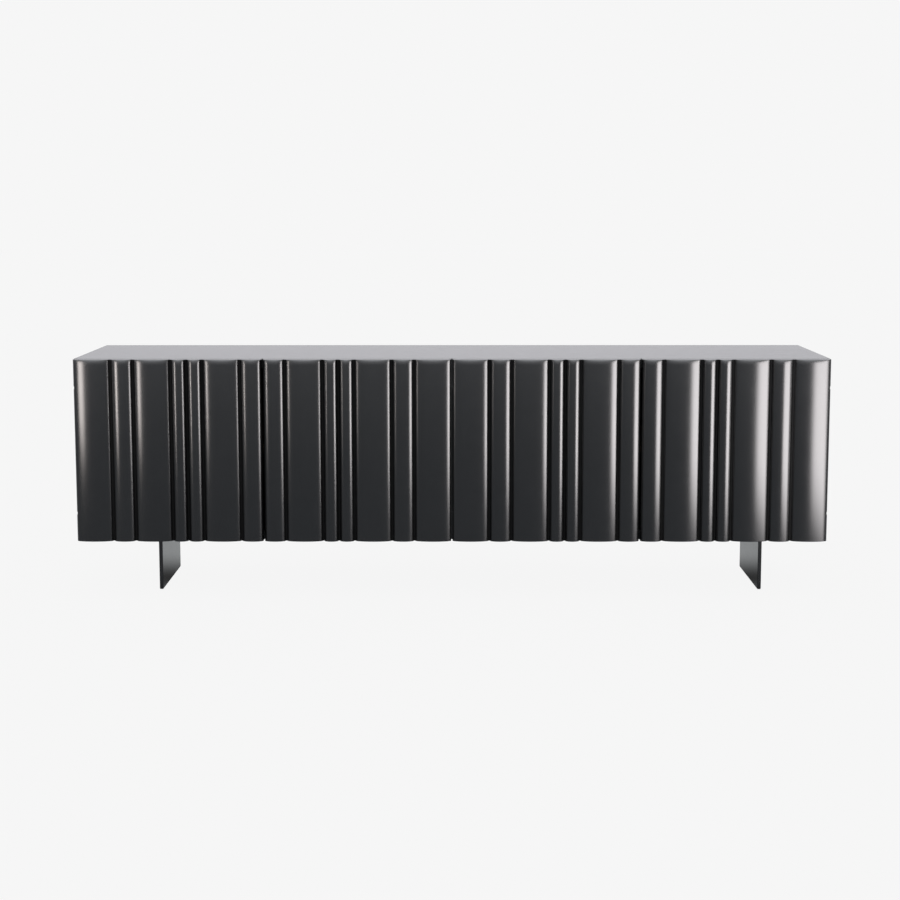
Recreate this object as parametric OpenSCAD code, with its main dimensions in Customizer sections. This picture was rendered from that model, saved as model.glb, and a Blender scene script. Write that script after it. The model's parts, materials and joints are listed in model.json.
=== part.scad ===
// Low four-door sideboard on two blade legs. Half-elliptical ribs of three widths cover the doors.
// Origin: middle of the footprint, on the floor. +X runs along the length, the doors face -Y, +Z is up.

/* [Overall] */
// Length of the cabinet
total_w = 2400; // [2300:10:2600]
// Depth from the crowns of the door ribs to the back
total_d = 600; // [540:10:660]
// Height from the floor to the top
total_h = 760; // [740:5:800]
// Height of the legs, pads included
leg_h = 178; // [120:1:200]

/* [Carcass] */
// Thickness of the top, the bottom and the uprights
board = 30; // [28:1:36]
// Thickness of each back panel
back_t = 10; // [8:1:12]
// Thickness of each shelf
shelf_t = 25; // [18:1:30]
// Distance of a shelf behind the face of the carcass
shelf_inset = 20; // [10:1:40]

/* [Doors] */
// Thickness of a door's flat panel
door_t = 25; // [22:1:28]
// Gap between two doors that meet
door_gap = 4; // [3:0.5:5]
// Gap between the back of a door and the carcass
door_back_gap = 3; // [3:0.5:5]
// Height of a rib above the door panel
rib_h = 20; // [18:1:24]
// Pitch of a medium rib
medium_pitch = 71; // [66:1:78]
// Pitch of a narrow rib
narrow_pitch = 50; // [46:1:56]
// Width of the groove between two ribs
groove_w = 5; // [4:0.5:8]

/* [Hinges] */
// Distance of a hinge pin from the end of its door's bay
pivot_x = 21; // [21:0.5:23]
// Distance of a hinge pin behind the rib crowns
pivot_y = 19; // [18:0.5:19]
// Radius of a hinge pin
pin_r = 2.5; // [2:0.1:2.6]
// Distance of a hinge from the nearer end of the door
hinge_from_end = 90; // [70:1:140]

/* [Legs] */
// Thickness of a leg blade
blade_t = 12; // [10:1:16]
// Depth of a leg blade, front to back
blade_d = 375; // [300:5:420]
// Middle of the left blade, left of the cabinet's middle
left_leg_x = 948; // [800:1:1050]
// Middle of the right blade, right of the cabinet's middle
right_leg_x = 1002; // [800:1:1050]
// Thickness of the pad under a blade
pad_t = 2; // [1:0.5:4]

/* [Hidden] */
$fn = 48;

// Colours
lacquer = [0.15, 0.15, 0.16];
lacquer_light = [0.42, 0.42, 0.44];
veneer = [0.30, 0.20, 0.13];
dowel_wood = [0.76, 0.62, 0.42];
steel = [0.66, 0.67, 0.69];
plastic = [0.62, 0.62, 0.63];
rubber = [0.06, 0.06, 0.06];

// Clearances
touch = 0.01;
shelf_play = 2;
hole_clear = 0.1;
running_clear = 0.05;
close_clear = 0.02;

// Planes, front to back. y_crown is the front of the ribs.
y_crown = -total_d / 2;
y_rib = y_crown + rib_h;
y_door = y_rib + door_t;
y_front = y_door + door_back_gap;
y_back = total_d / 2;
y_back_panel = y_back - back_t;
carcass_d = y_back - y_front;

// Levels, bottom to top
z_body = leg_h;
z_floor = z_body + board;
z_ceiling = total_h - board;
z_shelf = (z_floor + z_ceiling - shelf_t) / 2;
upright_h = z_ceiling - z_floor;
body_h = total_h - z_body;

// Bays. Each door fills one bay, and each pair of doors closes one cabinet.
bay_w = total_w / 4;
cabinet_w = total_w / 2;
inner_w = cabinet_w - 2 * board;
wide_pitch = (bay_w - 2 * medium_pitch - 2 * narrow_pitch) / 3;
// Ribs from the hinge side to the free edge: wide 0, medium 1, narrow 2
rib_order = [0, 1, 0, 2, 2, 0, 1];
rib_pitch = [wide_pitch, medium_pitch, narrow_pitch];
rib_steps = 48;

// Hinges
y_pivot = y_crown + pivot_y;
hinge_z = [z_body + hinge_from_end, total_h - hinge_from_end];
arm_w = 8;
arm_t = 8;
eye_r = 5;
tail_d = 45;
arm_clear = 0.5;
block_side = eye_r + arm_clear;
block_web = 16;
block_reach = 8;
block_front = pivot_y - block_reach;
block_h = 28;
notch_w = arm_w / 2 + arm_clear;
notch_h = arm_t + 2 * arm_clear;
// Bevel that lets the hinge edge swing past the carcass
door_bevel = 9;
hinge_screw_r = 2;
hinge_screw_y = y_front + tail_d / 2;

// Latches
latch_from_meeting = 30;
latch_x = bay_w - latch_from_meeting;
latch_w = 16;
latch_h = 24;
latch_d = 70;
latch_setback = 2;
latch_flange_w = 32;
latch_flange_d = 42;
latch_flange_t = 3;
z_latch = z_ceiling - latch_h / 2;
plunger_r = 3.95;
plunger_d = 53.3;
plunger_travel = 3;
strike_r = 12;
strike_t = 1.5;
strike_clear = 0.2;
y_strike = y_door + strike_t;
y_plunger = y_strike + strike_clear;
y_latch = y_front + latch_setback;
latch_screw_r = 1.5;
latch_screw_head_t = 1;
latch_screw_len = 16;
latch_screw_x = 12;
y_latch_screw = y_latch + latch_d / 2;

// Carcass fittings
rebate = 10;
dowel_r = 4;
dowel_len = 30;
dowel_y = [y_front + 72, y_front + 276, y_front + 482];
pin_rest_r = 2.45;
pin_rest_hole = 10;
pin_rest_len = 16;
pin_rest_in = 9;
pin_rest_y = [y_front + 72, y_back - 60];
pin_rest_rise = 64;
z_pin = z_shelf - pin_rest_r;
bolt_r = 2.5;
sleeve_r = 4;
bolt_head_r = 7.5;
bolt_head_t = 2;
bolt_len = 1.7 * board;
bolt_y = [y_front + 152, y_back - 100];
bolt_z = [z_floor + 52, z_ceiling - 50];
back_screw_r = 1.75;
back_screw_head = 3.5;
back_screw_len = 24;
back_screws = 4;
back_panel_w = inner_w + 2 * rebate;
back_panel_h = upright_h + 2 * rebate;

// Legs
flange_w = 80;
flange_t = 6;
leg_screw_r = 2.5;
leg_screw_head = 5.5;
leg_screw_len = 24;
leg_screw_x = [-25, 25];
leg_screw_y = [-150, 0, 150];
pad_inset = 1;

// One bay, drawn from its hinge side: x is the distance from the end of the bay.
// Bays 1 and 3 have their hinges on the left, bays 2 and 4 on the right.
module in_bay(bay) {
    hinge_end = floor(bay / 2) * cabinet_w - cabinet_w;
    translate([hinge_end, 0, 0])
        mirror([bay % 2 == 0 ? 1 : 0, 0, 0])
            children();
}

// A cylinder along +X or +Y from the given point
module rod_x(r, h) {
    rotate([0, 90, 0])
        cylinder(r = r, h = h);
}
module rod_y(r, h) {
    rotate([-90, 0, 0])
        cylinder(r = r, h = h);
}

// A countersunk screw pointing along +Z, with its head at the origin. grow widens it into its hole.
module screw(r, head_r, length, grow = 0) {
    cylinder(r1 = head_r + grow, r2 = r + grow, h = head_r - r);
    cylinder(r = r + grow, h = length + grow);
}

// Carcass
module dowels(grow = 0, extra = 0) {
    for (bay = [1:4], y = dowel_y, z = [z_floor, z_ceiling])
        in_bay(bay)
            translate([board / 2, y, z - dowel_len / 2 - extra])
                cylinder(r = dowel_r + grow, h = dowel_len + 2 * extra);
}

module carcass_dowels() {
    color(dowel_wood)
        dowels();
}

// Screws that hold the back panels, pointing forward into the carcass
module back_screws_all(grow = 0) {
    step = back_panel_w / back_screws;
    for (side = [-1, 1]) {
        for (i = [0:back_screws - 1], z = [z_floor - rebate / 2, z_ceiling + rebate / 2])
            translate([side * cabinet_w / 2 - back_panel_w / 2 + (i + 0.5) * step, y_back, z])
                rotate([90, 0, 0])
                    screw(back_screw_r, back_screw_head, back_screw_len, grow);
        for (end = [-1, 1])
            translate([side * cabinet_w / 2 + end * (inner_w + rebate) / 2, y_back, total_h / 2 + leg_h / 2])
                rotate([90, 0, 0])
                    screw(back_screw_r, back_screw_head, back_screw_len, grow);
    }
}

module back_panel_screws() {
    color(steel)
        back_screws_all();
}

module back_panel_block(side) {
    translate([side * cabinet_w / 2 - back_panel_w / 2, y_back_panel, z_floor - rebate])
        cube([back_panel_w, back_t, back_panel_h]);
}

module back_panel(side) {
    color(lacquer)
        difference() {
            back_panel_block(side);
            back_screws_all(hole_clear);
        }
}

module left_back_panel() {
    back_panel(-1);
}
module right_back_panel() {
    back_panel(1);
}

module latch_screws_all(grow = 0) {
    for (bay = [1:4], side = [-1, 1])
        in_bay(bay)
            translate([
                latch_x + side * latch_screw_x,
                y_latch_screw,
                z_ceiling - latch_flange_t - latch_screw_head_t
            ]) {
                cylinder(r = latch_screw_r + grow, h = latch_screw_len + grow);
                cylinder(r = 2 * latch_screw_r + grow, h = latch_screw_head_t);
            }
}

module top_panel() {
    color(lacquer_light)
        difference() {
            translate([-total_w / 2, y_front, z_ceiling])
                cube([total_w, carcass_d, board]);
            back_panel_block(-1);
            back_panel_block(1);
            back_screws_all(hole_clear);
            dowels(running_clear, 1);
            latch_screws_all(hole_clear);
        }
}

module flange_block(x) {
    translate([x - flange_w / 2, -blade_d / 2, z_body])
        cube([flange_w, blade_d, flange_t]);
}

module leg_screws_at(x, grow = 0) {
    for (dx = leg_screw_x, y = leg_screw_y)
        translate([x + dx, y, z_body])
            screw(leg_screw_r, leg_screw_head, leg_screw_len, grow);
}

module bottom_panel() {
    color(lacquer)
        difference() {
            translate([-total_w / 2, y_front, z_body])
                cube([total_w, carcass_d, board]);
            back_panel_block(-1);
            back_panel_block(1);
            back_screws_all(hole_clear);
            dowels(running_clear, 1);
            for (x = [-left_leg_x, right_leg_x]) {
                flange_block(x);
                leg_screws_at(x, hole_clear);
            }
        }
}

// Holes for the shelf pins at three heights, in one upright
module pin_rest_holes() {
    for (y = pin_rest_y, step = [-1:1])
        translate([board - pin_rest_hole, y, z_pin + step * pin_rest_rise])
            rod_x(pin_rest_r + running_clear, pin_rest_hole + 1);
}

module connector_holes() {
    for (y = bolt_y, z = bolt_z)
        translate([-1, y, z])
            rod_x(sleeve_r + hole_clear, board + 2);
}

// The screw that holds a hinge arm, driven from the inner face of the upright
module hinge_screws_of(bay, grow = 0) {
    for (z = hinge_z)
        in_bay(bay)
            translate([board, hinge_screw_y, z])
                rotate([0, -90, 0])
                    screw(hinge_screw_r, 2 * hinge_screw_r, board / 2, grow);
}

module upright(bay, connected) {
    color(lacquer)
        difference() {
            in_bay(bay)
                difference() {
                    translate([0, y_front, z_floor])
                        cube([board, carcass_d, upright_h]);
                    translate([board - rebate, y_back_panel, z_floor - 1])
                        cube([rebate + 1, back_t + 1, upright_h + 2]);
                    for (z = hinge_z)
                        translate([pivot_x - arm_w / 2, y_front - 1, z - arm_t / 2])
                            cube([arm_w, tail_d + 1, arm_t]);
                    pin_rest_holes();
                    if (connected)
                        connector_holes();
                }
            dowels(running_clear, 1);
            back_screws_all(hole_clear);
            hinge_screws_of(bay, hole_clear);
        }
}

module left_side_panel() {
    upright(1, false);
}
module left_centre_panel() {
    upright(2, true);
}
module right_centre_panel() {
    upright(3, true);
}
module right_side_panel() {
    upright(4, false);
}

module shelf(side) {
    w = inner_w - shelf_play;
    color(veneer)
        translate([side * cabinet_w / 2 - w / 2, y_front + shelf_inset, z_shelf])
            cube([w, y_back_panel - y_front - shelf_inset - shelf_play, shelf_t]);
}

module left_shelf() {
    shelf(-1);
}
module right_shelf() {
    shelf(1);
}

module shelf_pins() {
    color(steel)
        for (bay = [1:4], y = pin_rest_y)
            in_bay(bay)
                translate([board - pin_rest_in, y, z_pin])
                    rod_x(pin_rest_r, pin_rest_len);
}

// Bolts and sleeves that join the two centre panels
module connector_bolts() {
    color(steel)
        for (y = bolt_y, z = bolt_z)
            translate([-board, y, z]) {
                translate([-bolt_head_t, 0, 0])
                    rod_x(bolt_head_r, bolt_head_t);
                rod_x(bolt_r, bolt_len);
            }
}

module connector_sleeves() {
    color(steel)
        for (y = bolt_y, z = bolt_z)
            translate([0, y, z])
                difference() {
                    union() {
                        rod_x(sleeve_r, board + touch);
                        translate([board, 0, 0])
                            rod_x(bolt_head_r, bolt_head_t);
                    }
                    translate([-1, 0, 0])
                        rod_x(bolt_r + running_clear, board);
                }
}

// Legs
module leg_blade(x) {
    color(lacquer)
        translate([x - blade_t / 2, -blade_d / 2, pad_t])
            cube([blade_t, blade_d, leg_h - pad_t]);
}

module left_leg_blade() {
    leg_blade(-left_leg_x);
}
module right_leg_blade() {
    leg_blade(right_leg_x);
}

module leg_flange(x) {
    color(lacquer)
        difference() {
            flange_block(x);
            leg_screws_at(x, hole_clear);
        }
}

module left_leg_flange() {
    leg_flange(-left_leg_x);
}
module right_leg_flange() {
    leg_flange(right_leg_x);
}

module leg_screws() {
    color(steel)
        for (x = [-left_leg_x, right_leg_x])
            leg_screws_at(x);
}

module leg_pads() {
    color(rubber)
        for (x = [-left_leg_x, right_leg_x])
            translate([x - blade_t / 2 + pad_inset, -blade_d / 2 + pad_inset, 0])
                cube([blade_t - 2 * pad_inset, blade_d - 2 * pad_inset, pad_t]);
}

// Hinges: an arm let into the upright, and a block in the door that turns on a pin
module hinge_arm() {
    difference() {
        union() {
            translate([0, 0, -arm_t / 2])
                cylinder(r = eye_r, h = arm_t);
            translate([-arm_w / 2, 0, -arm_t / 2])
                cube([arm_w, y_front + tail_d - y_pivot, arm_t]);
        }
        translate([0, 0, -arm_t])
            cylinder(r = pin_r + running_clear, h = 2 * arm_t);
    }
}

module hinge_arms() {
    color(steel)
        difference() {
            for (bay = [1:4], z = hinge_z)
                in_bay(bay)
                    translate([pivot_x, y_pivot, z])
                        hinge_arm();
            for (bay = [1:4])
                hinge_screws_of(bay, hole_clear);
        }
}

module hinge_screws() {
    color(steel)
        for (bay = [1:4])
            hinge_screws_of(bay);
}

// The pocket that a hinge block fills, in a door and its first rib
module hinge_pockets() {
    for (z = hinge_z) {
        translate([pivot_x - block_side, y_crown + block_front, z - block_h / 2])
            cube([block_side + block_web, y_door - y_crown - block_front + 1, block_h]);
        translate([-1, y_pivot - notch_w, z - notch_h / 2])
            cube([pivot_x, y_door - y_pivot + notch_w + 1, notch_h]);
    }
}

module hinge_blocks(bay) {
    color(steel)
        in_bay(bay)
            for (z = hinge_z)
                difference() {
                    translate([pivot_x - block_side, y_crown + block_front, z - block_h / 2])
                        cube([block_side + block_web, y_door - y_crown - block_front, block_h]);
                    translate([pivot_x - block_side - 1, y_pivot - block_side, z - notch_h / 2])
                        cube([2 * block_side + 1, y_door - y_crown, notch_h]);
                    translate([pivot_x, y_pivot, z - block_h])
                        cylinder(r = pin_r + close_clear, h = 2 * block_h);
                }
}

module hinge_pins(bay) {
    color(steel)
        in_bay(bay)
            for (z = hinge_z)
                translate([pivot_x, y_pivot, z - block_h / 2])
                    cylinder(r = pin_r, h = block_h);
}

// Doors
module door_panel(bay) {
    edge = door_gap / 2;
    color(lacquer)
        in_bay(bay)
            difference() {
                translate([0, 0, z_body])
                    linear_extrude(body_h)
                        polygon([
                            [edge, y_rib],
                            [bay_w - edge, y_rib],
                            [bay_w - edge, y_door],
                            [edge + door_bevel, y_door],
                            [edge, y_door - door_bevel]
                        ]);
                hinge_pockets();
            }
}

function rib_start(i) = i == 0 ? 0 : rib_start(i - 1) + rib_pitch[rib_order[i - 1]];

// Half of an ellipse, flat side on the door panel
function rib_outline(half_w) = [
    for (i = [0:rib_steps])
        let (turn = 180 * i / rib_steps)
            [half_w * cos(turn), -rib_h * sin(turn)]
];

module rib(half_w) {
    translate([0, y_rib, z_body])
        linear_extrude(body_h)
            polygon(rib_outline(half_w));
}

// All the ribs of one width on one door
module ribs(bay, kind) {
    pitch = rib_pitch[kind];
    color(lacquer)
        in_bay(bay)
            difference() {
                for (i = [0:len(rib_order) - 1])
                    if (rib_order[i] == kind)
                        translate([rib_start(i) + pitch / 2, 0, 0])
                            rib((pitch - groove_w) / 2);
                hinge_pockets();
            }
}

module strike_plate(bay) {
    color(steel)
        in_bay(bay)
            translate([latch_x, y_door, z_latch])
                rod_y(strike_r, strike_t);
}

// Push latches under the top
module latch_housings() {
    color(plastic)
        difference() {
            for (bay = [1:4])
                in_bay(bay)
                    difference() {
                        union() {
                            translate([latch_x - latch_w / 2, y_latch, z_ceiling - latch_h])
                                cube([latch_w, latch_d, latch_h]);
                            translate([
                                latch_x - latch_flange_w / 2,
                                y_latch_screw - latch_flange_d / 2,
                                z_ceiling - latch_flange_t
                            ])
                                cube([latch_flange_w, latch_flange_d, latch_flange_t]);
                        }
                        translate([latch_x, y_latch - 1, z_latch])
                            rod_y(plunger_r + running_clear, plunger_d + plunger_travel);
                    }
            latch_screws_all(hole_clear);
        }
}

module latch_screws() {
    color(steel)
        latch_screws_all();
}

module latch_plunger(bay) {
    tip = 1;
    color(rubber)
        in_bay(bay)
            translate([latch_x, y_plunger, z_latch])
                rotate([-90, 0, 0]) {
                    cylinder(r1 = plunger_r - tip, r2 = plunger_r, h = tip);
                    translate([0, 0, tip])
                        cylinder(r = plunger_r, h = plunger_d - tip);
                }
}

module fitted(bay, name) {
    if (name == "door_panel")
        door_panel(bay);
    if (name == "ribs_wide")
        ribs(bay, 0);
    if (name == "ribs_medium")
        ribs(bay, 1);
    if (name == "ribs_narrow")
        ribs(bay, 2);
    if (name == "hinge_blocks")
        hinge_blocks(bay);
    if (name == "hinge_pins")
        hinge_pins(bay);
    if (name == "strike_plate")
        strike_plate(bay);
    if (name == "latch_plunger")
        latch_plunger(bay);
}

DOOR_NODES = [
    "door_panel", "ribs_wide", "ribs_medium", "ribs_narrow",
    "hinge_blocks", "hinge_pins", "strike_plate", "latch_plunger"
];

top_panel();
bottom_panel();
left_side_panel();
right_side_panel();
left_centre_panel();
right_centre_panel();
left_back_panel();
right_back_panel();
left_shelf();
right_shelf();
shelf_pins();
carcass_dowels();
connector_bolts();
connector_sleeves();
back_panel_screws();
left_leg_blade();
right_leg_blade();
left_leg_flange();
right_leg_flange();
leg_screws();
leg_pads();
hinge_arms();
hinge_screws();
latch_housings();
latch_screws();
for (bay = [1:4], name = DOOR_NODES)
    fitted(bay, name);
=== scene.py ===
import json
import math

import bpy
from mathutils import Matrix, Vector

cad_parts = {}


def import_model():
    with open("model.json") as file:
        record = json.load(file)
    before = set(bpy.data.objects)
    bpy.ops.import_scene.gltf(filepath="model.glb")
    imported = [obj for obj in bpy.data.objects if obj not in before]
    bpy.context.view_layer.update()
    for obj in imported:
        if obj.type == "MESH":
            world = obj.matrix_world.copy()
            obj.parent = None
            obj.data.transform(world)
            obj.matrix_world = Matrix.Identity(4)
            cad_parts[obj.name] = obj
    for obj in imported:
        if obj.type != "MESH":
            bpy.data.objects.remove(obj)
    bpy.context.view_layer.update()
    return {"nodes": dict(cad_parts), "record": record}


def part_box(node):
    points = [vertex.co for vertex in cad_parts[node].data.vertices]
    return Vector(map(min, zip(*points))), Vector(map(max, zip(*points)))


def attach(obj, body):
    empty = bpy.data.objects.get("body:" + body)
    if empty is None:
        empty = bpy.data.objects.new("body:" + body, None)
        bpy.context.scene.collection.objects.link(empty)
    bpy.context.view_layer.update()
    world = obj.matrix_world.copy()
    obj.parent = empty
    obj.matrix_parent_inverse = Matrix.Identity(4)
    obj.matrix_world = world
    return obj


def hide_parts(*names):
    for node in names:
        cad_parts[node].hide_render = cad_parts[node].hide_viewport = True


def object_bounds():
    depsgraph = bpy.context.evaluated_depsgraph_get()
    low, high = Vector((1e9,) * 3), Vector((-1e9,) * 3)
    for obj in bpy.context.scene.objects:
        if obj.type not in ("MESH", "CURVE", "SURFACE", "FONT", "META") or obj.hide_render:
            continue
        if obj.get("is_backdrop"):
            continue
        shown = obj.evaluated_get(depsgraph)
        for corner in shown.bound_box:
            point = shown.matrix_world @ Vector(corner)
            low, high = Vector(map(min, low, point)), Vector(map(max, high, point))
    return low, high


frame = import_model()

MM = 0.001
DOORS = (1, 2, 3, 4)
SHARP_ANGLE = 35

# Ribs: the cross-section is half an ellipse. It eases in towards the top over a length, by an
# inset, and has a small round at the foot.
RIB_STEPS = 72
RIB_TOP = (17 * MM, 2.8 * MM)
RIB_FOOT = (1.5 * MM, 1.5 * MM)
RIB_END_STEPS = 12

# Painted shade: a matt black strip in the bottom of each groove darkens it where shade falls.
# Its height, and how far its sides run into the ribs, whose feet curve away from the groove
STRIP = 3 * MM
STRIP_SIDE = 1 * MM

# Height of a hinge block, and half the height and width of the notch that clears a hinge arm
BLOCK_H = 28 * MM
NOTCH_HALF = 4.5 * MM

# Camera, in metres and degrees
CAMERA_AT = (0.0141, -6.007, 1.2509)
CAMERA_PITCH = 7.754
CAMERA_YAW = 0.195
CAMERA_ROLL = 0.024
CAMERA_LENS = 72.71

# Brightness of the floor and of the backdrop
BACKDROP = 0.922


# ---------------------------------------------------------------- small helpers

def mesh_object(name, verts, faces, smooth=True):
    """A new object with a mesh made from points and faces."""
    mesh = bpy.data.meshes.new(name)
    mesh.from_pydata([tuple(v) for v in verts], [], faces)
    mesh.validate()
    mesh.polygons.foreach_set("use_smooth", [smooth] * len(mesh.polygons))
    obj = bpy.data.objects.new(name, mesh)
    bpy.context.scene.collection.objects.link(obj)
    return obj


def mark_sharp(obj):
    """Marks the edges that bend by more than an angle, so that the rest shades smoothly."""
    obj.data.set_sharp_from_angle(angle=math.radians(SHARP_ANGLE))


def new_material(name):
    """A node material, with its tree and its Principled shader."""
    mat = bpy.data.materials.new(name)
    mat.use_nodes = True
    tree = mat.node_tree
    return mat, tree, tree.nodes["Principled BSDF"]


def node(tree, kind, **inputs):
    """A new shader node, with values set on its inputs by name."""
    made = tree.nodes.new(kind)
    for key, value in inputs.items():
        made.inputs[key.replace("_", " ")].default_value = value
    return made


def stretched_coords(tree, scale):
    """Object coordinates multiplied by a scale, which needs no UV map."""
    coords = tree.nodes.new("ShaderNodeTexCoord")
    mapping = node(tree, "ShaderNodeMapping")
    mapping.inputs["Scale"].default_value = scale
    tree.links.new(coords.outputs["Object"], mapping.inputs["Vector"])
    return mapping.outputs["Vector"]


def noise(tree, vector, scale, detail=3.0, roughness=0.5):
    """A noise texture's factor: the larger the scale, the finer the noise."""
    made = node(tree, "ShaderNodeTexNoise", Scale=scale, Detail=detail, Roughness=roughness)
    tree.links.new(vector, made.inputs["Vector"])
    return made.outputs["Fac"]


def ramp(tree, fac, stops):
    """A colour ramp on a factor. Each stop is (position, colour)."""
    made = tree.nodes.new("ShaderNodeValToRGB")
    made.color_ramp.elements[0].position = stops[0][0]
    made.color_ramp.elements[0].color = (*stops[0][1], 1)
    made.color_ramp.elements[1].position = stops[-1][0]
    made.color_ramp.elements[1].color = (*stops[-1][1], 1)
    for position, colour in stops[1:-1]:
        made.color_ramp.elements.new(position).color = (*colour, 1)
    tree.links.new(fac, made.inputs["Fac"])
    return made.outputs["Color"]


def spread(tree, fac, low, high):
    """A factor spread over the range from low to high."""
    made = tree.nodes.new("ShaderNodeMapRange")
    made.inputs["To Min"].default_value = low
    made.inputs["To Max"].default_value = high
    tree.links.new(fac, made.inputs["Value"])
    return made.outputs["Result"]


def smooth_step(tree, value, low, high):
    """Goes smoothly from 0 where a value is low to 1 where it is high."""
    made = tree.nodes.new("ShaderNodeMapRange")
    made.interpolation_type = "SMOOTHSTEP"
    made.inputs["From Min"].default_value = low
    made.inputs["From Max"].default_value = high
    tree.links.new(value, made.inputs["Value"])
    return made.outputs["Result"]


def maths(tree, operation, *values):
    """A maths node on outputs of other nodes, or on plain numbers."""
    made = tree.nodes.new("ShaderNodeMath")
    made.operation = operation
    for socket, value in zip(made.inputs, values):
        if isinstance(value, (int, float)):
            socket.default_value = value
        else:
            tree.links.new(value, socket)
    return made.outputs[0]


def bump(tree, shader, fac, distance):
    """Raises a shader's surface by a factor times a distance in metres."""
    made = node(tree, "ShaderNodeBump", Strength=1.0, Distance=distance)
    tree.links.new(fac, made.inputs["Height"])
    tree.links.new(made.outputs["Normal"], shader.inputs["Normal"])


# ---------------------------------------------------------------- materials

def lacquer(name, dark, light, rough, peel):
    """Gunmetal satin lacquer: a dark coat with a faint cloudiness and a fine peel."""
    mat, tree, shader = new_material(name)
    vector = stretched_coords(tree, (1, 1, 1))
    cloud = noise(tree, vector, 6, detail=4)
    colour = ramp(tree, cloud, [(0.3, dark), (0.7, light)])
    tree.links.new(colour, shader.inputs["Base Color"])
    tree.links.new(spread(tree, noise(tree, vector, 35, detail=5), rough - 0.02, rough + 0.02),
                   shader.inputs["Roughness"])
    bump(tree, shader, noise(tree, vector, 420, detail=2), peel)
    shader.inputs["IOR"].default_value = 1.5
    return mat


def metal(name, dark, light, rough, grain):
    """Steel with a fine streaky grain. grain scales it along X, Y and Z: a low number draws it out."""
    mat, tree, shader = new_material(name)
    vector = stretched_coords(tree, grain)
    streak = noise(tree, vector, 60, detail=6, roughness=0.65)
    tree.links.new(ramp(tree, streak, [(0.3, dark), (0.7, light)]), shader.inputs["Base Color"])
    tree.links.new(spread(tree, streak, rough - 0.06, rough + 0.08), shader.inputs["Roughness"])
    shader.inputs["Metallic"].default_value = 1.0
    bump(tree, shader, streak, 0.00004)
    return mat


def veneer(name, dark, mid, light):
    """Open-grained stained veneer whose grain runs along X."""
    mat, tree, shader = new_material(name)
    figure = noise(tree, stretched_coords(tree, (1.2, 14, 14)), 3.0, detail=8, roughness=0.6)
    pores = noise(tree, stretched_coords(tree, (12, 500, 500)), 2.0, detail=3)
    colour = ramp(tree, figure, [(0.3, dark), (0.5, mid), (0.72, light)])
    pore_mask = ramp(tree, pores, [(0.38, (0.35, 0.35, 0.35)), (0.5, (1, 1, 1))])
    mix = tree.nodes.new("ShaderNodeMixRGB")
    mix.blend_type = "MULTIPLY"
    mix.inputs["Fac"].default_value = 0.8
    tree.links.new(colour, mix.inputs["Color1"])
    tree.links.new(pore_mask, mix.inputs["Color2"])
    tree.links.new(mix.outputs["Color"], shader.inputs["Base Color"])
    tree.links.new(spread(tree, pores, 0.55, 0.38), shader.inputs["Roughness"])
    bump(tree, shader, pores, 0.00008)
    return mat


def moulded(name, dark, light, rough, grain_scale, depth):
    """Moulded plastic, rubber or a sprayed board: a fine even texture."""
    mat, tree, shader = new_material(name)
    vector = stretched_coords(tree, (1, 1, 1))
    fine = noise(tree, vector, grain_scale, detail=4)
    broad = noise(tree, vector, 12, detail=3)
    tree.links.new(ramp(tree, broad, [(0.3, dark), (0.7, light)]), shader.inputs["Base Color"])
    tree.links.new(spread(tree, fine, rough - 0.05, rough + 0.05), shader.inputs["Roughness"])
    bump(tree, shader, fine, depth)
    return mat


def painted_shade_black(name):
    """Painted shade: matt black paint that hardly shines, which darkens the bottoms of the grooves."""
    mat = moulded(name, (0.0010, 0.0010, 0.0011), (0.0020, 0.0020, 0.0021), 0.6, 900, 0.00002)
    mat.node_tree.nodes["Principled BSDF"].inputs["Specular IOR Level"].default_value = 0.05
    return mat


# Dark and light tone of the gunmetal lacquer, and how rough it is
GUNMETAL = ((0.0020, 0.0021, 0.0024), (0.0030, 0.0031, 0.0034), 0.243)

# Every material slot, with the function that makes it and what that function takes after the name
RECIPES = {
    "door_lacquer": (lacquer, *GUNMETAL, 0.0000012),
    "top_lacquer": (lacquer, *GUNMETAL, 0.000004),
    "carcass_lacquer": (lacquer, *GUNMETAL, 0.000006),
    "leg_metal": (lacquer, (0.0020, 0.0021, 0.0023), (0.0030, 0.0031, 0.0033), 0.22, 0.000006),
    "back_board": (moulded, (0.0085, 0.0085, 0.0088), (0.0125, 0.0125, 0.013), 0.50, 500, 0.00003),
    "shelf_veneer": (veneer, (0.040, 0.023, 0.014), (0.082, 0.048, 0.029), (0.130, 0.079, 0.049)),
    "beech": (veneer, (0.38, 0.24, 0.13), (0.46, 0.31, 0.18), (0.55, 0.39, 0.24)),
    "hinge_steel": (metal, (0.40, 0.40, 0.41), (0.52, 0.52, 0.53), 0.30, (1, 30, 30)),
    "bright_steel": (metal, (0.52, 0.52, 0.53), (0.64, 0.64, 0.65), 0.20, (8, 8, 8)),
    "latch_plastic": (moulded, (0.30, 0.30, 0.31), (0.35, 0.35, 0.36), 0.45, 700, 0.00004),
    "pad_rubber": (moulded, (0.012, 0.012, 0.012), (0.020, 0.020, 0.020), 0.75, 500, 0.0001),
    "plunger_rubber": (moulded, (0.020, 0.020, 0.020), (0.030, 0.030, 0.030), 0.6, 800, 0.00004),
}
MATERIALS = {name: make(name, *values) for name, (make, *values) in RECIPES.items()}

# The grey lining inside the cabinet: its dark and light tone, and how rough it is
LINING_DARK = (0.040, 0.041, 0.044)
LINING_LIGHT = (0.055, 0.056, 0.060)
LINING_ROUGH = 0.42


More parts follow.
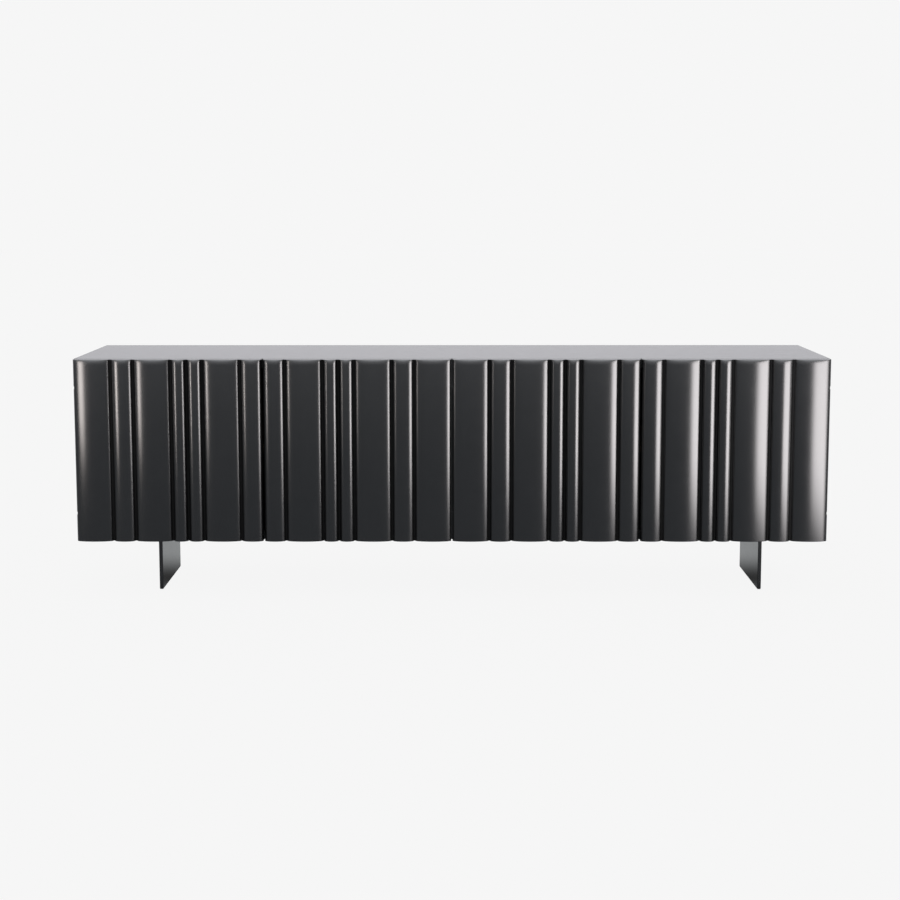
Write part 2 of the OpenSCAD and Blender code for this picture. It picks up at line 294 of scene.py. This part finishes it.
def line_inside(mat, low, high):
    """Gives the faces inside a box the plain grey lining that the inside of the cabinet has."""
    tree = mat.node_tree
    shader = tree.nodes["Principled BSDF"]
    coords = tree.nodes.new("ShaderNodeTexCoord")
    split = tree.nodes.new("ShaderNodeSeparateXYZ")
    tree.links.new(coords.outputs["Object"], split.inputs[0])
    inside = 1.0
    for axis, floor_value, top_value in zip(split.outputs, low, high):
        above = maths(tree, "GREATER_THAN", axis, floor_value)
        below = maths(tree, "LESS_THAN", axis, top_value)
        inside = maths(tree, "MULTIPLY", inside, maths(tree, "MULTIPLY", above, below))
    speckle = noise(tree, stretched_coords(tree, (1, 1, 1)), 260, detail=3)
    finish = {"Base Color": ramp(tree, speckle, [(0.35, LINING_DARK), (0.65, LINING_LIGHT)]),
              "Roughness": spread(tree, speckle, LINING_ROUGH - 0.04, LINING_ROUGH + 0.04)}
    for name, lining in finish.items():
        mix = tree.nodes.new("ShaderNodeMixRGB")
        tree.links.new(inside, mix.inputs["Fac"])
        tree.links.new(shader.inputs[name].links[0].from_socket, mix.inputs["Color1"])
        tree.links.new(lining, mix.inputs["Color2"])
        tree.links.new(mix.outputs["Color"], shader.inputs[name])


# The inside of the cabinet, behind its front edges, and the inner faces of the doors. EDGE is how
# far past a face the box reaches, so that it takes the face in, and FAR lies beyond the object.
EDGE = 0.2 * MM
FAR = 9.0
inner_low = Vector((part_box("left_side_panel")[1].x - EDGE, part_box("left_side_panel")[0].y + MM,
                    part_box("bottom_panel")[1].z - EDGE))
inner_high = Vector((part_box("right_side_panel")[0].x + EDGE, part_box("left_back_panel")[0].y + EDGE,
                     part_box("top_panel")[0].z + EDGE))
for slot_name in ("top_lacquer", "carcass_lacquer", "back_board"):
    line_inside(MATERIALS[slot_name], inner_low, inner_high)
line_inside(MATERIALS["door_lacquer"], (-FAR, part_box("door_panel_1")[1].y - EDGE, -FAR), (FAR, FAR, FAR))

# Painted shade: the matt black that darkens the groove bottoms
GROOVE_SHADE_PAINT = painted_shade_black("groove_painted_shade")
SLOT_OF = {entry["node"]: entry["material_slot"] for entry in frame["record"]["subparts"]}


def dress(obj, slot_name):
    """Gives an object the material of a slot, and no other."""
    obj.data.materials.clear()
    obj.data.materials.append(MATERIALS[slot_name])


# ---------------------------------------------------------------- CAD nodes that stay

# Edge radius of the nodes that stay, in millimetres, by the start of the name: the first that
# fits holds, and 0 leaves the edges as they are
EDGE_RADIUS = {
    "top_panel": 1.0, "bottom_panel": 1.0, "left_back_panel": 0, "right_back_panel": 0,
    "left_": 0.8, "right_": 0.8, "door_panel": 1.2, "hinge_arms": 0.4, "hinge_blocks": 0.5,
    "latch_housings": 0.8, "leg_pads": 0.4,
}
LEG_EDGE = 1.5
EDGE_STEPS = 3
EDGE_ANGLE = 40


def round_edges(obj, radius):
    """Rounds a CAD node's edges for its looks only."""
    weld = obj.modifiers.new("weld", "WELD")
    weld.merge_threshold = 0.00001
    bevel = obj.modifiers.new("round_edges", "BEVEL")
    bevel.width = radius
    bevel.segments = EDGE_STEPS
    bevel.limit_method = "ANGLE"
    bevel.angle_limit = math.radians(EDGE_ANGLE)
    bevel.use_clamp_overlap = True
    normals = obj.modifiers.new("weighted_normals", "WEIGHTED_NORMAL")
    normals.keep_sharp = True


for name, obj in frame["nodes"].items():
    dress(obj, SLOT_OF[name])
    radius = next((r for start, r in EDGE_RADIUS.items() if name.startswith(start)), None)
    if name.endswith("leg_blade"):
        radius = LEG_EDGE
    if radius:
        round_edges(obj, radius * MM)


# ---------------------------------------------------------------- ribs

def rib_spans(obj):
    """The stretches of X that the ribs of one CAD node fill, as (low, high)."""
    mesh = obj.data
    spans = []
    for poly in mesh.polygons:
        xs = [mesh.vertices[v].co.x for v in poly.vertices]
        spans.append((min(xs), max(xs)))
    merged = []
    for low, high in sorted(spans):
        if merged and low <= merged[-1][1] + 0.5 * MM:
            merged[-1][1] = max(merged[-1][1], high)
        else:
            merged.append([low, high])
    return merged


def rib_mesh(verts, faces, x_low, x_high, lo, hi):
    """Adds one rib, with its ends eased in, to the lists."""
    centre, half = (x_low + x_high) / 2, (x_high - x_low) / 2
    height = hi.y - lo.y
    rows = []
    for z_end, direction, (length, depth) in ((lo.z, 1, RIB_FOOT), (hi.z, -1, RIB_TOP)):
        for k in range(RIB_END_STEPS + 1):
            a = math.pi / 2 * k / RIB_END_STEPS
            rows.append((z_end + direction * length * (1 - math.cos(a)), depth * (1 - math.sin(a))))
    rows.sort()
    base = len(verts)
    width = RIB_STEPS + 1
    for z, inset in rows:
        for i in range(width):
            turn = math.pi * i / RIB_STEPS
            verts.append((centre - math.cos(turn) * half, hi.y - math.sin(turn) * (height - inset), z))
    for r in range(len(rows) - 1):
        for i in range(RIB_STEPS):
            a = base + r * width + i
            faces.append((a, a + 1, a + width + 1, a + width))
        first, last = base + r * width, base + r * width + RIB_STEPS
        faces.append((last, first, first + width, last + width))
    faces.append(tuple(base + i for i in reversed(range(width))))
    top = base + (len(rows) - 1) * width
    faces.append(tuple(top + i for i in range(width)))


def box_mesh(verts, faces, low, high):
    """Adds one box, with two opposite corners given, to the lists."""
    base = len(verts)
    verts += [(x, y, z) for x in (low[0], high[0]) for y in (low[1], high[1]) for z in (low[2], high[2])]
    faces += [tuple(base + i for i in face) for face in
              ((0, 1, 3, 2), (4, 6, 7, 5), (0, 4, 5, 1), (2, 3, 7, 6), (0, 2, 6, 4), (1, 5, 7, 3))]


def carve(obj, boxes):
    """Cuts boxes, each given by two opposite corners, out of an object's mesh."""
    verts, faces = [], []
    for low, high in boxes:
        box_mesh(verts, faces, low, high)
    cutter = mesh_object("cutter", verts, faces, smooth=False)
    cut = obj.modifiers.new("carve", "BOOLEAN")
    cut.object = cutter
    cut.solver = "EXACT"
    carved = bpy.data.meshes.new_from_object(obj.evaluated_get(bpy.context.evaluated_depsgraph_get()))
    obj.modifiers.remove(cut)
    obj.data = carved
    bpy.data.objects.remove(cutter)


def carve_hinge_pockets(door, ribs, lo, hi):
    """Cuts out of a door's first rib what its hinge blocks fill and what its hinge arms swing through."""
    block_lo, block_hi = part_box(f"hinge_blocks_{door}")
    pin_lo, pin_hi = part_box(f"hinge_pins_{door}")
    pin = (pin_lo + pin_hi) / 2
    back = hi.y + MM
    edge = lo.x - MM if pin.x < (lo.x + hi.x) / 2 else hi.x + MM
    blocks, notches = [], []
    for z in (block_lo.z, block_hi.z - BLOCK_H):
        blocks.append(((block_lo.x, block_lo.y, z), (block_hi.x, back, z + BLOCK_H)))
        middle = z + BLOCK_H / 2
        notches.append(((min(edge, pin.x), pin.y - NOTCH_HALF, middle - NOTCH_HALF),
                        (max(edge, pin.x), back, middle + NOTCH_HALF)))
    carve(ribs, blocks)
    carve(ribs, notches)


def shade_grooves(door, spans, lo, hi):
    """Painted shade: the matt black strip that darkens the bottom of each groove of one door."""
    verts, faces = [], []
    for (_, left), (right, _) in zip(spans, spans[1:]):
        box_mesh(verts, faces, (left - STRIP_SIDE, hi.y - STRIP, lo.z + MM),
                 (right + STRIP_SIDE, hi.y, hi.z - MM))
    lining = mesh_object(f"groove_shade_strips_{door}", verts, faces, smooth=False)
    lining.data.materials.append(GROOVE_SHADE_PAINT)
    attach(lining, f"door_{door}")


for door in DOORS:
    door_spans = []
    for kind in ("wide", "medium", "narrow"):
        source = f"ribs_{kind}_{door}"
        lo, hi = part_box(source)
        verts, faces = [], []
        for x_low, x_high in rib_spans(frame["nodes"][source]):
            door_spans.append((x_low, x_high))
            rib_mesh(verts, faces, x_low, x_high, lo, hi)
        ribs = mesh_object(f"moulded_ribs_{kind}_{door}", verts, faces)
        if kind == "wide":  # the rib over the hinges is a wide one
            carve_hinge_pockets(door, ribs, lo, hi)
        mark_sharp(ribs)
        dress(ribs, SLOT_OF[source])
        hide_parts(source)
        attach(ribs, f"door_{door}")
    shade_grooves(door, sorted(door_spans), lo, hi)


# ---------------------------------------------------------------- stage

def emission_material(name):
    """A material that only glows, with its tree, its emission shader and its output."""
    mat = bpy.data.materials.new(name)
    mat.use_nodes = True
    tree = mat.node_tree
    tree.nodes.clear()
    out = tree.nodes.new("ShaderNodeOutputMaterial")
    emit = tree.nodes.new("ShaderNodeEmission")
    tree.links.new(emit.outputs["Emission"], out.inputs["Surface"])
    return mat, tree, emit, out


def reflected_only(obj):
    """Makes a studio card that only reflections see."""
    obj.visible_camera = False
    obj.visible_diffuse = False
    obj.visible_transmission = False
    obj.visible_volume_scatter = False
    obj.visible_shadow = False
    obj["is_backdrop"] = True


def softbox(name, near, far, z_low, z_high, strength, colour, soft_foot, soft_head, soft_near, soft_far):
    """A softbox standing over the line from near to far (X, Y).

    soft_foot and soft_head are the heights over which it fades at its lower and its upper edge;
    soft_near and soft_far are the shares of its width over which its two upright edges fade.
    """
    verts = [(*near, z_low), (*far, z_low), (*far, z_high), (*near, z_high)]
    card = mesh_object(name, verts, [(0, 1, 2, 3)], smooth=False)
    uv = card.data.uv_layers.new(name="across")
    for loop, corner in zip(uv.data, ((0, 0), (1, 0), (1, 1), (0, 1))):
        loop.uv = corner
    mat, tree, emit, _ = emission_material(name)
    coords = tree.nodes.new("ShaderNodeTexCoord")
    split = tree.nodes.new("ShaderNodeSeparateXYZ")
    tree.links.new(coords.outputs["UV"], split.inputs[0])
    fade_in = smooth_step(tree, split.outputs["X"], 0, soft_near)
    fade_out = smooth_step(tree, split.outputs["X"], 1, 1 - soft_far)
    fade_up = smooth_step(tree, split.outputs["Y"], 0, soft_foot / (z_high - z_low))
    fade_down = smooth_step(tree, split.outputs["Y"], 1, 1 - soft_head / (z_high - z_low))
    across = maths(tree, "MULTIPLY", fade_in, fade_out)
    fade = maths(tree, "MULTIPLY", across, maths(tree, "MULTIPLY", fade_up, fade_down))
    level = maths(tree, "MULTIPLY", fade, strength)
    tree.links.new(level, emit.inputs["Strength"])
    emit.inputs["Color"].default_value = (*colour, 1)
    card.data.materials.append(mat)
    reflected_only(card)


softbox("softbox_right", near=(1.305, -1.65), far=(1.75, -0.45), z_low=-0.10, z_high=0.96,
        strength=17.7, colour=(1.03, 0.99, 1.0),
        soft_foot=0.39, soft_head=0.16, soft_near=0.35, soft_far=0.22)
softbox("softbox_left", near=(-1.52, -1.01), far=(-2.21, -1.17), z_low=0.22, z_high=0.96,
        strength=19.0, colour=(1.07, 0.99, 0.955),
        soft_foot=0.30, soft_head=0.16, soft_near=0.17, soft_far=0.25)


# Tints of the room in reflections: cooler low down
LOW = (0.93, 1.0, 1.09)
HIGH = (0.98, 1.0, 1.04)

# The room's brightness by the slope at which it is seen from the cabinet: (slope, level, tint)
# in front of the cabinet, and (slope, colour) behind it
ROOM_FRONT = (
    (-0.30, 0.34, LOW), (-0.175, 0.395, LOW), (-0.12, 0.42, LOW), (-0.09, 0.465, LOW),
    (-0.03, 0.78, HIGH), (0.05, 1.25, HIGH), (0.12, 1.80, HIGH), (0.25, 2.45, HIGH),
    (0.45, 5.2, HIGH), (0.7, 6.0, HIGH),
)
ROOM_BACK = (
    (-0.4, (0.72, 0.72, 0.75)), (-0.12, (0.97, 0.965, 1.01)), (0.02, (1.075, 1.07, 1.12)),
    (0.5, (1.18, 1.17, 1.225)),
)
EYE_LEVEL = 0.45
# How much dimmer the room is at its sides
SIDE_DIMMING = 0.26


def room():
    """A wide drum around the stage that only reflections see: dark low down, bright high up."""
    radius, low, high, steps = 12.0, -6.0, 9.0, 48
    verts = []
    for i in range(steps):
        a = 2 * math.pi * i / steps
        verts += [(radius * math.sin(a), radius * math.cos(a), low),
                  (radius * math.sin(a), radius * math.cos(a), high)]
    faces = [(2 * i, 2 * i + 1, (2 * i + 3) % (2 * steps), (2 * i + 2) % (2 * steps))
             for i in range(steps)]
    faces.append(tuple(2 * i for i in range(steps)))
    faces.append(tuple(2 * i + 1 for i in reversed(range(steps))))
    drum = mesh_object("studio_drum", verts, faces, smooth=False)
    mat, tree, emit, _ = emission_material("studio_drum")
    geometry = tree.nodes.new("ShaderNodeNewGeometry")
    split = tree.nodes.new("ShaderNodeSeparateXYZ")
    tree.links.new(geometry.outputs["Position"], split.inputs[0])
    to_share = tree.nodes.new("ShaderNodeMapRange")
    to_share.inputs["From Min"].default_value = low
    to_share.inputs["From Max"].default_value = high
    tree.links.new(split.outputs["Z"], to_share.inputs["Value"])

    def share(slope):
        return (EYE_LEVEL + slope * radius - low) / (high - low)

    front = ramp(tree, to_share.outputs["Result"],
                 [(share(slope), tuple(level * c for c in tint)) for slope, level, tint in ROOM_FRONT])
    back = ramp(tree, to_share.outputs["Result"],
                [(share(slope), colour) for slope, colour in ROOM_BACK])
    mix = tree.nodes.new("ShaderNodeMixRGB")
    tree.links.new(smooth_step(tree, split.outputs["Y"], 0.5, 4.0), mix.inputs["Fac"])
    tree.links.new(front, mix.inputs["Color1"])
    tree.links.new(back, mix.inputs["Color2"])
    tree.links.new(mix.outputs["Color"], emit.inputs["Color"])
    sideways = maths(tree, "POWER", maths(tree, "DIVIDE", split.outputs["X"], radius), 2)
    dimmed = maths(tree, "SUBTRACT", 1, maths(tree, "MULTIPLY", sideways, SIDE_DIMMING))
    tree.links.new(dimmed, emit.inputs["Strength"])
    drum.data.materials.append(mat)
    reflected_only(drum)


def shade_under():
    """What the floor looks like in reflections, painted: a painted shadow, dark under the cabinet where
    its shadow falls, pale around it.
    """
    lo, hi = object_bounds()
    reach = 2.2
    z = -0.5 * MM
    verts = [(lo.x - reach, lo.y - reach, z), (hi.x + reach, lo.y - reach, z),
             (hi.x + reach, hi.y + reach, z), (lo.x - reach, hi.y + reach, z)]
    pool = mesh_object("floor_shade", verts, [(0, 1, 2, 3)], smooth=False)
    mat, tree, emit, _ = emission_material("floor_shade")
    geometry = tree.nodes.new("ShaderNodeNewGeometry")
    split = tree.nodes.new("ShaderNodeSeparateXYZ")
    tree.links.new(geometry.outputs["Position"], split.inputs[0])
    beside = smooth_step(tree, maths(tree, "ABSOLUTE", split.outputs["X"]), hi.x - 0.03, hi.x + 0.17)
    behind = smooth_step(tree, maths(tree, "ABSOLUTE", split.outputs["Y"]), hi.y - 0.31, hi.y + 0.17)
    outside = maths(tree, "MAXIMUM", beside, behind)
    # Painted reflection of the floor around the cabinet: darker in front, paler behind
    around = ramp(tree, smooth_step(tree, split.outputs["Y"], lo.y, hi.y),
                  [(0, (0.39, 0.42, 0.46)), (1, (0.65, 0.67, 0.68))])
    mix = tree.nodes.new("ShaderNodeMixRGB")
    # Painted shadow: the dark of the floor under the cabinet
    mix.inputs["Color1"].default_value = (0.07, 0.07, 0.07, 1)
    tree.links.new(outside, mix.inputs["Fac"])
    tree.links.new(around, mix.inputs["Color2"])
    tree.links.new(mix.outputs["Color"], emit.inputs["Color"])
    pool.data.materials.append(mat)
    reflected_only(pool)


def floor():
    """A pale floor, mostly lit from within so that it meets the backdrop without a line."""
    size = 40
    corners = [(-size, -size, -MM), (size, -size, -MM), (size, size, -MM), (-size, size, -MM)]
    plane = mesh_object("floor", corners, [(0, 1, 2, 3)], smooth=False)
    mat, tree, emit, out = emission_material("floor")
    white = 0.02
    emit.inputs["Color"].default_value = (BACKDROP * (1 - white),) * 3 + (1,)
    diffuse = tree.nodes.new("ShaderNodeBsdfDiffuse")
    diffuse.inputs["Color"].default_value = (white,) * 3 + (1,)
    add = tree.nodes.new("ShaderNodeAddShader")
    tree.links.new(emit.outputs["Emission"], add.inputs[0])
    tree.links.new(diffuse.outputs["BSDF"], add.inputs[1])
    tree.links.new(add.outputs["Shader"], out.inputs["Surface"])
    plane.data.materials.append(mat)
    plane.visible_glossy = False
    plane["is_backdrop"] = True


def world():
    """The even pale light all round, which is also the backdrop."""
    made = bpy.data.worlds.new("studio")
    made.use_nodes = True
    background = made.node_tree.nodes["Background"]
    background.inputs["Color"].default_value = (BACKDROP,) * 3 + (1,)
    bpy.context.scene.world = made


def camera():
    """The camera that looks at the front from a little above the top."""
    data = bpy.data.cameras.new("camera")
    data.lens = CAMERA_LENS
    data.sensor_width = 36
    made = bpy.data.objects.new("camera", data)
    made.location = CAMERA_AT
    turns = (90 - CAMERA_PITCH, CAMERA_ROLL, CAMERA_YAW)
    made.rotation_euler = [math.radians(angle) for angle in turns]
    bpy.context.scene.collection.objects.link(made)
    bpy.context.scene.camera = made


room()
shade_under()
floor()
world()
camera()
bpy.context.scene.view_settings.view_transform = "Standard"
